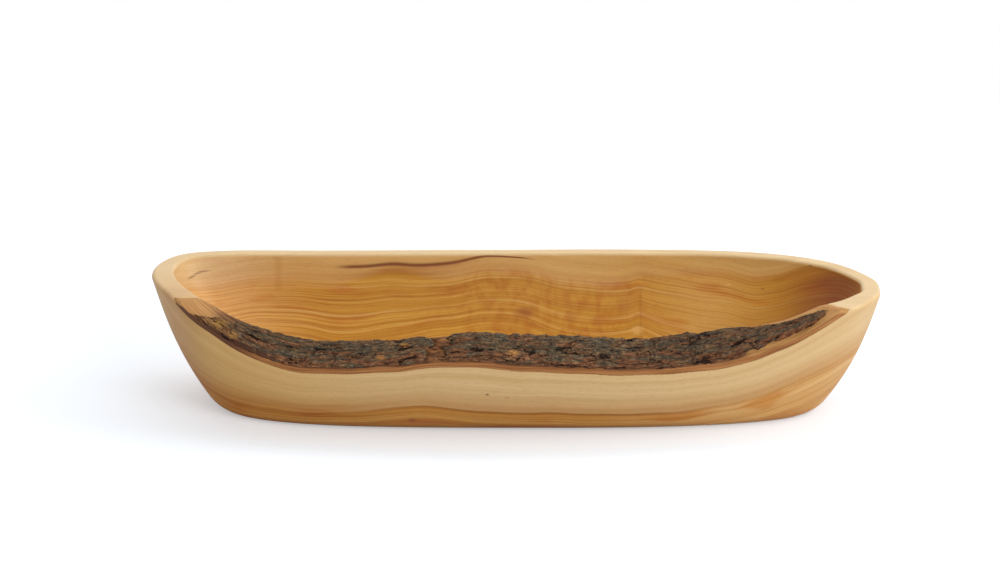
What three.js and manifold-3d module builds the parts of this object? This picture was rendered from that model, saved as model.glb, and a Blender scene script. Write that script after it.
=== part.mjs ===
// Olive wood bread bowl with a live edge: a long tray carved from one half of a small log.
// Its far side and both ends are bare wood. The near side still carries the log's bark.
// Millimetres. +Z is up, X runs along the log, -Y is the bark side.
// The origin is on the table under the middle of the bowl.
import * as THREE from 'three';
import { mergeVertices } from 'three/addons/utils/BufferGeometryUtils.js';
import Module from 'manifold-3d';

const wasm = await Module();
wasm.setup();

// Overall size of the bowl at its rim
const length = 381;
const width = 146;
const height = 63;

// Flat foot that it stands on, before its lower edge is rounded
const footLength = 312;
const footWidth = 88;
const footEdgeRadius = 6;

// Carved wall, measured square to the rim, and the floor under the hollow
const wallBack = 8.5;
const wallFront = 15.2;
const wallLeftEnd = 11.5;
const wallRightEnd = 9.2;
const floorThickness = 9.5;
const lipRadius = 2;

// Level part of the hollow's floor
const floorLength = 216;
const floorWidth = 30;

// The log: radius of its wood, then the two layers of bark over it
const logRadius = 92;
const innerBarkThickness = 2.6;
const outerBarkThickness = 3.2;
const layerGap = 0.3;
const logRipple = 0.4;
const logOverhang = 12;
const barkRelief = 0.9;
const plateEdge = 1.8;
const plateEdgeShare = 0.35;

// Share of the flare that is straight, and how quickly the rest turns up
const flareStraight = 0.59;
const flarePower = 3;
const hollowStraight = 0.2;

// Rim outline seen from above, as shares of half the length and half the width.
// It starts at the right tip and goes round by the back.
const rimOutline = [
  [0.999, 0.022], [0.985, 0.296], [0.878, 0.692], [0.665, 0.933], [0.323, 0.998],
  [-0.097, 0.98], [-0.516, 0.959], [-0.805, 0.951], [-0.949, 0.816], [-1.0, 0.405],
  [-0.941, -0.111], [-0.831, -0.554], [-0.569, -0.883], [-0.149, -0.992],
  [0.323, -0.965], [0.665, -0.775], [0.886, -0.516], [0.978, -0.207],
];

// How far the foot lies along from the rim's middle, how far its two tips lie off the middle
// line, and how square its corners are
const footAlong = 1.5;
const footTipRight = -3;
const footTipLeft = 11;
const footSquareness = { backRight: 2.54, backLeft: 2, frontLeft: 3.36, frontRight: 2.78 };

// Where the log's own surface comes out through the near wall.
// Each row: share of half length, share of half width, depth below the rim, lean in degrees.
const liveEdge = [
  [-1.04, -0.1, 0.4, 9], [-0.95, -0.13, 0.2, 10.5], [-0.89, -0.22, 0.4, 15],
  [-0.82, -0.43, 6.5, 26], [-0.73, -0.57, 14.8, 35], [-0.6, -0.68, 20.9, 40.5],
  [-0.46, -0.75, 21.6, 40.5], [-0.33, -0.79, 19.3, 40], [-0.2, -0.82, 15.8, 41],
  [-0.07, -0.83, 15.1, 46], [0.06, -0.82, 16.5, 49.5], [0.19, -0.8, 17.6, 49.5],
  [0.32, -0.78, 19.1, 49.5], [0.45, -0.73, 18.8, 51], [0.585, -0.66, 17.1, 47],
  [0.69, -0.6, 13.8, 36], [0.795, -0.51, 7.5, 24], [0.874, -0.45, 1, 22],
  [0.95, -0.45, 0.1, 21], [1.04, -0.45, 0.1, 21],
];

// Fissures that part the outer bark, as shares of half length: where each one meets the outside
// wall, where it is half way across the band, and where it meets the hollow
const fissures = {
  leftTip: [-0.83, -0.862, -0.875],
  left: [-0.779, -0.752, -0.767],
  leftMiddle: [-0.505, -0.47, -0.474],
  flakeStart: [-0.262, -0.234, -0.25],
  flakeEnd: [-0.158, -0.172, -0.155],
  middle: [0.115, 0.09, 0.06],
  rightMiddle: [0.33, 0.362, 0.342],
  right: [0.481, 0.482, 0.525],
  stripEnd: [0.64, 0.625, 0.63],
  rightTip: [0.8, 0.835, 0.845],
};
const fissureWidth = 0.9;

// Plates of outer bark. A low strip lies outside the fissure that runs along the log, and goes on
// under the flaked place between the third plate and the fourth.
const barkPlates = [
  { name: 'bark_plate_1', from: 'leftTip', to: 'left', part: 'whole' },
  { name: 'bark_plate_2', from: 'left', to: 'leftMiddle', part: 'whole' },
  { name: 'bark_plate_3', from: 'leftMiddle', to: 'flakeStart', part: 'whole' },
  { name: 'bark_plate_4', from: 'flakeEnd', to: 'middle', part: 'high' },
  { name: 'bark_plate_5', from: 'middle', to: 'rightMiddle', part: 'high' },
  { name: 'bark_plate_6', from: 'rightMiddle', to: 'right', part: 'whole' },
  { name: 'bark_plate_7', from: 'right', to: 'rightTip', part: 'high' },
  { name: 'bark_strip_1', from: 'flakeStart', to: 'rightMiddle', part: 'low' },
  { name: 'bark_strip_2', from: 'right', to: 'stripEnd', part: 'low' },
];
const longFissureAt = 0.41;

// How finely the shapes are cut
const outlineSteps = 108;
const flareSteps = 9;
const roundSteps = 3;
const logArcSteps = 22;
const logLengthSteps = 76;
const bandSpread = 20;
const plateStepLength = 4.4;
const plateBandSteps = 18;

const halfLength = length / 2;
const halfWidth = width / 2;
const radians = THREE.MathUtils.degToRad;

const woodMaterial = new THREE.MeshStandardMaterial({ color: 0xc98f45, roughness: 0.5, metalness: 0 });
const innerBarkMaterial = new THREE.MeshStandardMaterial({ color: 0x8a5230, roughness: 0.7, metalness: 0 });

function outerBarkMaterial() {
  return new THREE.MeshStandardMaterial({ color: 0x4a3f36, roughness: 0.95, metalness: 0 });
}

// Solids and meshes

function solidOf(positions, triangles) {
  const geometry = new THREE.BufferGeometry();
  geometry.setAttribute('position', new THREE.Float32BufferAttribute(positions, 3));
  geometry.setIndex(triangles);
  const merged = mergeVertices(geometry, 1e-4);
  const vertProperties = new Float32Array(merged.attributes.position.array);
  const triVerts = new Uint32Array(merged.index.array);
  return new wasm.Manifold(new wasm.Mesh({ numProp: 3, vertProperties, triVerts }));
}

function meshOf(solid, name, material) {
  const { vertProperties, triVerts } = solid.getMesh();
  const geometry = new THREE.BufferGeometry();
  geometry.setAttribute('position', new THREE.Float32BufferAttribute(vertProperties, 3));
  geometry.setIndex(Array.from(triVerts));
  geometry.computeVertexNormals();
  const mesh = new THREE.Mesh(geometry, material);
  mesh.name = name;
  return mesh;
}

// A solid through closed rings of the same number of points, listed anticlockwise from above
// or from the end they face, with a flat fan at each end.
function loft(rings) {
  const count = rings[0].length;
  const positions = rings.flat().flatMap((p) => [p.x, p.y, p.z]);
  const triangles = [];
  for (let level = 0; level + 1 < rings.length; level += 1) {
    for (let i = 0; i < count; i += 1) {
      const next = (i + 1) % count;
      const a = level * count + i;
      const b = level * count + next;
      triangles.push(a, b, b + count, a, b + count, a + count);
    }
  }
  const capRing = (ring, first, facesBack) => {
    const middle = ring.reduce((sum, p) => sum.add(p), new THREE.Vector3()).divideScalar(count);
    const centre = positions.length / 3;
    positions.push(middle.x, middle.y, middle.z);
    for (let i = 0; i < count; i += 1) {
      const a = first + i;
      const b = first + (i + 1) % count;
      triangles.push(centre, facesBack ? b : a, facesBack ? a : b);
    }
  };
  capRing(rings[0], 0, true);
  capRing(rings.at(-1), (rings.length - 1) * count, false);
  return solidOf(positions, triangles);
}

// Outlines

function sampledRim() {
  const corners = rimOutline.map(([along, across]) => new THREE.Vector3(along, across, 0));
  const curve = new THREE.CatmullRomCurve3(corners, true, 'catmullrom', 0.5);
  const points = [];
  for (let i = 0; i < outlineSteps; i += 1) points.push(curve.getPoint(i / outlineSteps));
  const box = new THREE.Box3().setFromPoints(points);
  const size = box.getSize(new THREE.Vector3());
  const middle = box.getCenter(new THREE.Vector3());
  return points.map((p) => new THREE.Vector3(
    ((p.x - middle.x) / size.x) * length,
    ((p.y - middle.y) / size.y) * width,
    0,
  ));
}

function footPoint(angle) {
  const c = Math.cos(angle);
  const s = Math.sin(angle);
  const corner = (s >= 0 ? 'back' : 'front') + (c >= 0 ? 'Right' : 'Left');
  const power = 2 / footSquareness[corner];
  const tipAcross = c >= 0 ? footTipRight : footTipLeft;
  const sideAcross = Math.sign(s) * (footWidth / 2) - tipAcross;
  return new THREE.Vector3(
    footAlong + Math.sign(c) * (footLength / 2) * Math.abs(c) ** power,
    tipAcross + sideAcross * Math.abs(s) ** power,
    0,
  );
}

function outwardNormals(points) {
  return points.map((_, i) => {
    const before = points[(i + points.length - 1) % points.length];
    const after = points[(i + 1) % points.length];
    return new THREE.Vector3(after.y - before.y, before.x - after.x, 0).normalize();
  });
}

function moved(points, normals, distance) {
  return points.map((p, i) => {
    const step = typeof distance === 'number' ? distance : distance[i];
    return p.clone().addScaledVector(normals[i], step);
  });
}

function atHeight(points, z) {
  return points.map((p) => new THREE.Vector3(p.x, p.y, z));
}

// Thickness of the wall round the rim, eased from one side to the next
function wallAround() {
  const sides = [
    [0, wallRightEnd], [0.14, wallBack], [0.42, wallBack], [0.52, wallLeftEnd],
    [0.66, wallFront], [0.86, wallFront], [1, wallRightEnd],
  ];
  const walls = [];
  for (let i = 0; i < outlineSteps; i += 1) {
    const turn = i / outlineSteps;
    const k = sides.findIndex(([start], n) => turn >= start && turn < sides[n + 1][0]);
    const [start, from] = sides[k];
    const [end, to] = sides[k + 1];
    const ease = THREE.MathUtils.smoothstep(turn, start, end);
    walls.push(from + (to - from) * ease);
  }
  return walls;
}

// The carved shell: outside, then hollow

const rim = sampledRim();
const rimNormals = outwardNormals(rim);
const rimWalls = wallAround();
const turns = rim.map((_, i) => (2 * Math.PI * i) / outlineSteps);
const foot = turns.map(footPoint);

function outsideFlare(t) {
  return flareStraight * t + (1 - flareStraight) * (1 - (1 - t) ** flarePower);
}

function outsideRing(z, inset) {
  const share = outsideFlare(Math.min(1, z / (height - lipRadius)));
  const ring = foot.map((p, i) => p.clone().lerp(rim[i], share));
  return atHeight(moved(ring, rimNormals, -inset), z);
}

function roundInset(radius, share) {
  return radius * (1 - Math.sqrt(1 - share * share));
}

function outsideSolid() {
  const rings = [];
  for (let k = roundSteps; k >= 1; k -= 1) {
    const share = k / roundSteps;
    rings.push(outsideRing(footEdgeRadius * (1 - share), roundInset(footEdgeRadius, share)));
  }
  const top = height - lipRadius;
  for (let k = 0; k <= flareSteps; k += 1) {
    rings.push(outsideRing(footEdgeRadius + ((top - footEdgeRadius) * k) / flareSteps, 0));
  }
  for (let k = 1; k <= roundSteps; k += 1) {
    const share = k / roundSteps;
    const rise = Math.sin((share * Math.PI) / 2);
    rings.push(outsideRing(top + lipRadius * rise, roundInset(lipRadius, rise)));
  }
  return loft(rings);
}

function hollowFlare(t) {
  return hollowStraight * t + (1 - hollowStraight) * Math.sqrt(1 - (1 - t) ** 2);
}

const hollowRim = moved(rim, rimNormals, rimWalls.map((wall) => -wall));
const hollowFloor = turns.map((angle) => new THREE.Vector3(
  footAlong + (floorLength / 2) * Math.cos(angle),
  (floorWidth / 2) * Math.sin(angle),
  0,
));

function hollowRing(t, outset) {
  const ring = hollowFloor.map((p, i) => p.clone().lerp(hollowRim[i], hollowFlare(t)));
  return atHeight(moved(ring, rimNormals, outset), floorThickness + (height - floorThickness) * t);
}

function hollowSolid() {
  const depth = height - floorThickness;
  const lipStart = 1 - lipRadius / depth;
  const steps = flareSteps + roundSteps;
  const rings = [];
  for (let k = 0; k <= steps; k += 1) {
    const t = lipStart * (1 - Math.cos(((k / steps) * Math.PI) / 2));
    rings.push(hollowRing(t, 0));
  }
  for (let k = 1; k <= roundSteps; k += 1) {
    const rise = Math.sin(((k / roundSteps) * Math.PI) / 2);
    rings.push(hollowRing(lipStart + (1 - lipStart) * rise, roundInset(lipRadius, rise)));
  }
  rings.push(atHeight(rings.at(-1), height + lipRadius));
  return loft(rings);
}

// The log that the bowl was carved from. Its pith line wanders, so every section has its own
// centre, worked out from where the live edge runs and how far it leans.

const edgeCurve = new THREE.CatmullRomCurve3(
  liveEdge.map(([along, across, below]) => new THREE.Vector3(
    along * halfLength,
    across * halfWidth,
    height - below,
  )),
  false,
  'catmullrom',
  0.5,
);
const leanCurve = new THREE.SplineCurve(
  liveEdge.map(([along, , , lean]) => new THREE.Vector2(along * halfLength, lean)),
);
const sectionCount = 240;
const sections = Array.from({ length: sectionCount + 1 }, (_, i) => {
  const point = edgeCurve.getPoint(i / sectionCount);
  const lean = leanCurve.getPoint(i / sectionCount).y;
  return { x: point.x, y: point.y, z: point.z, lean };
});

function sectionAt(x) {
  const found = sections.findIndex((s) => s.x > x);
  const after = Math.max(1, found < 0 ? sectionCount : found);
  const a = sections[after - 1];
  const b = sections[after];
  const share = (x - a.x) / (b.x - a.x);
  const mix = (key) => a[key] + (b[key] - a[key]) * share;
  const lean = mix('lean');
  return {
    lean,
    pithY: mix('y') + logRadius * Math.sin(radians(lean)),
    pithZ: mix('z') - logRadius * Math.cos(radians(lean)),
  };
}

// Low swellings of the wood under its bark, a long wave and a short one
function ripple(x, tilt) {
  const long = Math.sin(x / 9.5 + tilt / 11);
  const short = Math.sin(x / 4.1 - tilt / 7);
  return logRipple * (0.6 * long + 0.4 * short);
}

// A point on or over the log's wood: tilt is in degrees, 0 at the top and 90 at the near side.
// Behind its top the log goes on level, above the rim.
function logPoint(x, tilt, over) {
  const { pithY, pithZ } = sectionAt(x);
  const reach = logRadius + ripple(x, tilt) + over;
  const turn = radians(tilt);
  return new THREE.Vector3(
    x,
    pithY - reach * (tilt < 0 ? turn : Math.sin(turn)),
    pithZ + reach * (tilt < 0 ? 1 : Math.cos(turn)),
  );
}

// The wood inside the bark, filled in behind and below so that only the near side is shaped
function woodOfLog() {
  const rings = [];
  const reach = halfLength + logOverhang;
  const behind = width;
  const below = -height;
  for (let k = 0; k <= logLengthSteps; k += 1) {
    const x = -reach + (2 * reach * k) / logLengthSteps;
    const ring = [];
    for (let i = 0; i <= logArcSteps; i += 1) ring.push(logPoint(x, (90 * i) / logArcSteps, 0));
    ring.push(new THREE.Vector3(x, ring.at(-1).y, below));
    ring.push(new THREE.Vector3(x, behind, below));
    ring.push(new THREE.Vector3(x, behind, ring[0].z));
    rings.push(ring);
  }
  return loft(rings);
}

// A curved slab over the log. Start and end give its two ends for a share of the way across the
// live edge, band says which shares it covers, and inner and outer are its two faces.
function slab({ start, end, band, lengthSteps, bandSteps, inner, outer }) {
  const positions = [];
  const rows = bandSteps + 1;
  const place = (layer, k, j) => (layer * lengthSteps.length + k) * rows + j;
  [inner, outer].forEach((face) => {
    lengthSteps.forEach((u) => {
      for (let j = 0; j < rows; j += 1) {
        const across = THREE.MathUtils.lerp(band[0], band[1], j / bandSteps);
        const first = start(across);
        const last = end(across);
        const x = first + (last - first) * u;
        const tilt = sectionAt(x).lean + bandSpread * (1 - 2 * across);
        const point = logPoint(x, tilt, face({ x, tilt, across, first, last }));
        positions.push(point.x, point.y, point.z);
      }
    });
  });
  const triangles = [];
  const quad = (a, b, c, d) => triangles.push(a, b, c, a, c, d);
  const top = lengthSteps.length - 1;
  for (let k = 0; k < top; k += 1) {
    for (let j = 0; j < bandSteps; j += 1) {
      quad(place(1, k, j), place(1, k + 1, j), place(1, k + 1, j + 1), place(1, k, j + 1));
      quad(place(0, k, j), place(0, k, j + 1), place(0, k + 1, j + 1), place(0, k + 1, j));
    }
    quad(place(0, k, 0), place(0, k + 1, 0), place(1, k + 1, 0), place(1, k, 0));
    const j = bandSteps;
    quad(place(1, k, j), place(1, k + 1, j), place(0, k + 1, j), place(0, k, j));
  }
  for (let j = 0; j < bandSteps; j += 1) {
    quad(place(0, 0, j), place(1, 0, j), place(1, 0, j + 1), place(0, 0, j + 1));
    quad(place(0, top, j), place(0, top, j + 1), place(1, top, j + 1), place(1, top, j));
  }
  return solidOf(positions, triangles);
}

// The pieces

const outside = outsideSolid();
const hollow = hollowSolid();

function carved(solid) {
  return solid.intersect(outside).subtract(hollow);
}

function evenSteps(count) {
  return Array.from({ length: count + 1 }, (_, i) => i / count);
}

function bowlBody() {
  return outside.intersect(woodOfLog()).subtract(hollow);
}

function innerBark() {
  const reach = halfLength + logOverhang;
  return carved(slab({
    start: () => -reach,
    end: () => reach,
    band: [0, 1],
    lengthSteps: evenSteps(logLengthSteps),
    bandSteps: plateBandSteps,
    inner: () => layerGap,
    outer: () => innerBarkThickness,
  }));
}

// Ridges that run along the log and break up, as thick bark does
function barkRidges(x, tilt) {
  const along = Math.sin(x / 3.7 + Math.sin(x / 17) * 1.3 + tilt / 4);
  const across = Math.sin(tilt / 1.5 + Math.sin(x / 8.3) * 1.7);
  return barkRelief * (along * 0.45 + across * 0.55);
}

const bandWidth = 2 * radians(bandSpread) * logRadius;

// The part of the live edge's band that a plate covers, short of the fissure along the log
function bandOf(part) {
  const halfFissure = fissureWidth / 2 / bandWidth;
  if (part === 'low') return [0, longFissureAt - halfFissure];
  if (part === 'high') return [longFissureAt + halfFissure, 1];
  return [0, 1];
}

// Share of a plate's thickness left at a distance from a fissure, rounded like a worn edge
function worn(distance) {
  const share = THREE.MathUtils.clamp(distance / plateEdge, 0, 1);
  return plateEdgeShare + (1 - plateEdgeShare) * Math.sqrt(1 - (1 - share) ** 2);
}

// Place of a fissure along the log, on a curve through its three places across the band
function fissureAt(name, across) {
  const [outer, half, inner] = fissures[name].map((share) => share * halfLength);
  return outer + (inner - outer) * across + 2 * (outer + inner - 2 * half) * across * (across - 1);
}

function outerBarkPlate({ from, to, part }) {
  const start = (across) => fissureAt(from, across) + fissureWidth / 2;
  const end = (across) => fissureAt(to, across) - fissureWidth / 2;
  const band = bandOf(part);
  const span = end(band[0]) - start(band[0]);
  const edge = Math.min(plateEdge / span, 0.25);
  const middle = evenSteps(Math.max(2, Math.round(span / plateStepLength)));
  const inside = innerBarkThickness + layerGap;
  const thicknessAt = ({ x, tilt, across, first, last }) => {
    const fromEnd = Math.min(x - first, last - x);
    const fromLongFissure = part === 'whole' ? plateEdge : Math.abs(across - longFissureAt) * bandWidth;
    const full = outerBarkThickness + barkRidges(x, tilt);
    return full * worn(fromEnd) * worn(fromLongFissure);
  };
  return carved(slab({
    start,
    end,
    band,
    lengthSteps: [0, edge / 3, ...middle.map((u) => edge + (1 - 2 * edge) * u), 1 - edge / 3, 1],
    bandSteps: Math.round(plateBandSteps * (band[1] - band[0])),
    inner: () => inside,
    outer: (place) => inside + thicknessAt(place),
  }));
}

const bowl = new THREE.Group();
bowl.add(meshOf(bowlBody(), 'bowl_body', woodMaterial));
bowl.add(meshOf(innerBark(), 'inner_bark', innerBarkMaterial));
barkPlates.forEach((plate) => {
  bowl.add(meshOf(outerBarkPlate(plate), plate.name, outerBarkMaterial()));
});

export default bowl;
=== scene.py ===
"""Olive wood bread bowl with a live edge: one carved piece of wood that still wears its bark.

Sizes are in millimetres and become metres where a mesh is made. X runs along the log, -Y is the
bark side, +Z is up, and the bowl stands on z = 0.
"""
import math

import bmesh
import bpy
import numpy as np
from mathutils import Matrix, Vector, noise
from mathutils.bvhtree import BVHTree


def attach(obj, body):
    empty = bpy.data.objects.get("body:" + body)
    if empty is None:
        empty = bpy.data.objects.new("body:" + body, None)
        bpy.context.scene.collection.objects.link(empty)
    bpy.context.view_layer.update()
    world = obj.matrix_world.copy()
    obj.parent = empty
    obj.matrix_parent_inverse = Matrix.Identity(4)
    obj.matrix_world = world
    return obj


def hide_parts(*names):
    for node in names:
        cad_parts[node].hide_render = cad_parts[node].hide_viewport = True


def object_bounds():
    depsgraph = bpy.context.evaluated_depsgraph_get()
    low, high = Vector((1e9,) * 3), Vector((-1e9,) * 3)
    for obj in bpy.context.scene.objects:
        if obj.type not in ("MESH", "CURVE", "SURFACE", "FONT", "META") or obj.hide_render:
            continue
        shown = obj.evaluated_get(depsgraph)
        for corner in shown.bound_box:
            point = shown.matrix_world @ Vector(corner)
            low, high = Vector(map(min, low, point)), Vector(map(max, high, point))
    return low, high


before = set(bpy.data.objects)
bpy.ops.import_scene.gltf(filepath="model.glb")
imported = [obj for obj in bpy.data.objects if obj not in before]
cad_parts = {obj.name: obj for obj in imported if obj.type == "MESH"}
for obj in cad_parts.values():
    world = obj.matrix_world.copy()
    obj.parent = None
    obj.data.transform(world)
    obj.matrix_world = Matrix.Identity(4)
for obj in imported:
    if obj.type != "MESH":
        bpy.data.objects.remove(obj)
cad_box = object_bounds()

# The bowl. It is one piece of olive wood, split from a log and carved with a gouge inside and
# out, then sanded and oiled. Its far side and both ends are bare wood. Along its near side the
# carver stopped at the log's own surface, so the two cuts leave a strip of it between them.

mm = 0.001
length = (cad_box[1].x - cad_box[0].x) / mm
height = cad_box[1].z / mm
width = 146.0
foot_length, foot_width, foot_edge_radius = 312.0, 88.0, 6.0
floor_length, floor_width, floor_thickness = 216.0, 30.0, 9.5
lip_radius = 2.0
log_radius = 92.0
ripple_height = 0.4
half_length, half_width = length / 2, width / 2

# How much of each wall's flare is straight, and how far the flat rings reach from their middle
wall_straight_share, hollow_straight_share = 0.59, 0.2
foot_middle_share, floor_middle_share = 0.4, 0.45
# Rows of points in each part of the bowl, and columns between two corners of the rim
foot_rows, edge_rows, wall_rows, top_rows, hollow_rows, floor_rows = 5, 7, 26, 8, 44, 4
columns_per_corner = 40
# How near corners lie that are joined: at a ring's seam, at a fold, and only where they are equal
seam_weld, fold_weld, exact_weld = 0.01, 0.005, 0.0001

# Rim seen from above, as shares of half the length and half the width, from the right tip round
# by the back
rim_outline = [
    (0.999, 0.022), (0.985, 0.296), (0.878, 0.692), (0.665, 0.933), (0.323, 0.998),
    (-0.097, 0.98), (-0.516, 0.959), (-0.805, 0.951), (-0.949, 0.816), (-1.0, 0.405),
    (-0.941, -0.111), (-0.831, -0.554), (-0.569, -0.883), (-0.149, -0.992),
    (0.323, -0.965), (0.665, -0.775), (0.886, -0.516), (0.978, -0.207),
]
# Thickness of the wall at these shares of the way round the rim
wall_round = [(0, 9.2), (0.14, 8.5), (0.42, 8.5), (0.52, 11.5), (0.66, 15.2), (0.86, 15.2), (1, 9.2)]
foot_along, foot_tip_right, foot_tip_left = 1.5, -3.0, 11.0
foot_squareness = {"back_right": 2.54, "back_left": 2.0, "front_left": 3.36, "front_right": 2.78}

# Where the log's surface comes out through the near wall: share of half length, share of half
# width, depth below the rim, and lean in degrees
live_edge = [
    (-1.04, -0.1, 0.4, 9), (-0.95, -0.13, 0.2, 10.5), (-0.89, -0.22, 0.4, 15),
    (-0.82, -0.43, 6.5, 26), (-0.73, -0.57, 14.8, 35), (-0.6, -0.68, 20.9, 40.5),
    (-0.46, -0.75, 21.6, 40.5), (-0.33, -0.79, 19.3, 40), (-0.2, -0.82, 15.8, 41),
    (-0.07, -0.83, 15.1, 46), (0.06, -0.82, 16.5, 49.5), (0.19, -0.8, 17.6, 49.5),
    (0.32, -0.78, 19.1, 49.5), (0.45, -0.73, 18.8, 51), (0.585, -0.66, 17.1, 47),
    (0.69, -0.6, 13.8, 36), (0.795, -0.51, 7.5, 24), (0.874, -0.45, 1, 22),
    (0.95, -0.45, 0.1, 21), (1.04, -0.45, 0.1, 21),
]

# Growth rings, as depths in from the bark. On each side two lines are followed along the log:
# place along it, depth of the line where the heartwood starts, depth of a line further in.
near_rings = [
    (-175, 52, 66), (-149, 36, 50), (-128, 26.5, 40), (-111, 24, 37), (-78, 23, 36),
    (-52, 21.5, 35), (-31, 24.5, 38), (-6, 24.5, 38), (20, 22.5, 36), (64, 22, 35),
    (93, 19.5, 31), (109, 19, 29), (131, 21.5, 35), (152, 23.5, 40), (177, 31.5, 46),
]
far_rings = [
    (-185, 14, 27), (-157, 8, 22.5), (-134, 5, 18.5), (-108, 3, 17.5), (-91, 1.5, 17.5),
    (-65, -1, 13.5), (-43, 1, 13), (-26, 3.5, 15.5), (0, 9, 21.5), (24, 15, 30),
    (43, 17, 33), (62, 17, 32), (68, 16.5, 31), (84, 23, 40.5), (103, 26.5, 44.5),
    (122, 23, 41), (141, 13.5, 30), (153, 8, 24), (165, 12, 27), (176, 14, 29),
]
near_sapwood, near_next_ring, far_next_ring = 24.0, 13.0, 14.0
near_from_tilt, near_to_tilt = -18.0, 14.0


def eased(value, low, high):
    t = np.clip((np.asarray(value, float) - low) / (high - low), 0, 1)
    return t * t * (3 - 2 * t)


def spline(points, steps, closed=False):
    """Catmull-Rom curve through the points, with so many steps from each to the next."""
    points = np.array(points, float)
    if closed:
        points = np.vstack([points[-1:], points, points[:2]])
    else:
        points = np.vstack([2 * points[0] - points[1], points, 2 * points[-1] - points[-2]])
    t = (np.arange(steps) / steps)[:, None]
    spans = []
    for before, start, end, after in zip(points, points[1:], points[2:], points[3:]):
        leave, arrive = (end - before) / 2, (after - start) / 2
        bend = 3 * (end - start) - 2 * leave - arrive
        twist = 2 * (start - end) + leave + arrive
        spans.append(start + t * leave + t**2 * bend + t**3 * twist)
    if not closed:
        spans.append(points[-2:-1])
    return np.vstack(spans)


rim = spline(rim_outline, columns_per_corner, closed=True)
rim = (rim - (rim.min(0) + rim.max(0)) / 2) / np.ptp(rim, axis=0) * (length, width)
columns = len(rim)
rim_tangents = np.roll(rim, -1, axis=0) - np.roll(rim, 1, axis=0)
rim_normals = np.column_stack([rim_tangents[:, 1], -rim_tangents[:, 0]])
rim_normals /= np.linalg.norm(rim_normals, axis=1)[:, None]
turns = 2 * math.pi * np.arange(columns) / columns
cosines, sines = np.cos(turns), np.sin(turns)


def foot_outline():
    powers = np.empty(columns)
    for corner, squareness in foot_squareness.items():
        there = (sines >= 0) == corner.startswith("back")
        there &= (cosines >= 0) == corner.endswith("right")
        powers[there] = 2 / squareness
    tip = np.where(cosines >= 0, foot_tip_right, foot_tip_left)
    side = np.sign(sines) * foot_width / 2 - tip
    along = foot_along + np.sign(cosines) * foot_length / 2 * np.abs(cosines) ** powers
    return np.column_stack([along, tip + side * np.abs(sines) ** powers])


def wall_thickness():
    walls = np.empty(columns)
    for (start, first), (end, last) in zip(wall_round, wall_round[1:]):
        share = np.arange(columns) / columns
        there = (share >= start) & (share < end)
        walls[there] = first + (last - first) * eased(share[there], start, end)
    return walls


foot = foot_outline()
hollow_rim = rim - rim_normals * wall_thickness()[:, None]
hollow_floor = np.column_stack([foot_along + floor_length / 2 * cosines, floor_width / 2 * sines])
lip_start = height - lip_radius


def outside_ring(z, inset=0.0):
    z = np.broadcast_to(z, columns)
    rise = np.minimum(1, z / lip_start)
    curve = 1 - (1 - rise) ** 3
    flare = (wall_straight_share * rise + (1 - wall_straight_share) * curve)[:, None]
    ring = foot + (rim - foot) * flare - rim_normals * inset
    return np.column_stack([ring, z])


def hollow_ring(z):
    z = np.broadcast_to(z, columns)
    rise = np.clip((z - floor_thickness) / (height - floor_thickness), 0, 1)
    curve = np.sqrt(1 - (1 - rise) ** 2)
    flare = (hollow_straight_share * rise + (1 - hollow_straight_share) * curve)[:, None]
    return np.column_stack([hollow_floor + (hollow_rim - hollow_floor) * flare, z])


edge_line = spline([(a * half_length, b * half_width, height - c, d) for a, b, c, d in live_edge], 12)


def pith(x):
    """Middle of the log at a place along it: across and up."""
    across, up, lean = (np.interp(x, edge_line[:, 0], edge_line[:, k]) for k in (1, 2, 3))
    lean = np.radians(lean)
    return across + log_radius * np.sin(lean), up - log_radius * np.cos(lean)


def ripple(x, tilt):
    return ripple_height * (0.6 * np.sin(x / 9.5 + tilt / 11) + 0.4 * np.sin(x / 4.1 - tilt / 7))


def log_place(points):
    """Where points lie in the log: tilt round the pith (0 at the top, 90 at the near side, in
    degrees) and height over the wood's surface."""
    x, y, z = points.T
    pith_y, pith_z = pith(x)
    tilt = np.degrees(np.arctan2(pith_y - y, z - pith_z))
    return tilt, np.hypot(y - pith_y, z - pith_z) - log_radius - ripple(x, tilt)


def log_top(points):
    """Height of the log's wood over points seen from above. Behind its top it goes on level."""
    x, y = points[:, 0], points[:, 1]
    pith_y, pith_z = pith(x)
    sideways = np.clip((pith_y - y) / log_radius, 0, 1)
    reach = log_radius + ripple(x, np.degrees(np.arcsin(sideways)))
    rise = np.sqrt(np.maximum(reach**2 - np.maximum(pith_y - y, 0) ** 2, 0))
    return pith_z + rise


def leaves_log(ring_at, low, high):
    """Height at which each column of a wall comes out of the log, or high if it stays inside."""
    low, high = np.full(columns, low), np.full(columns, high)
    inside_at_top = high <= log_top(ring_at(high))
    for _ in range(24):
        middle = (low + high) / 2
        inside = middle <= log_top(ring_at(middle))
        low, high = np.where(inside, middle, low), np.where(inside, high, middle)
    return np.where(inside_at_top, lip_start, low)


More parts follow.
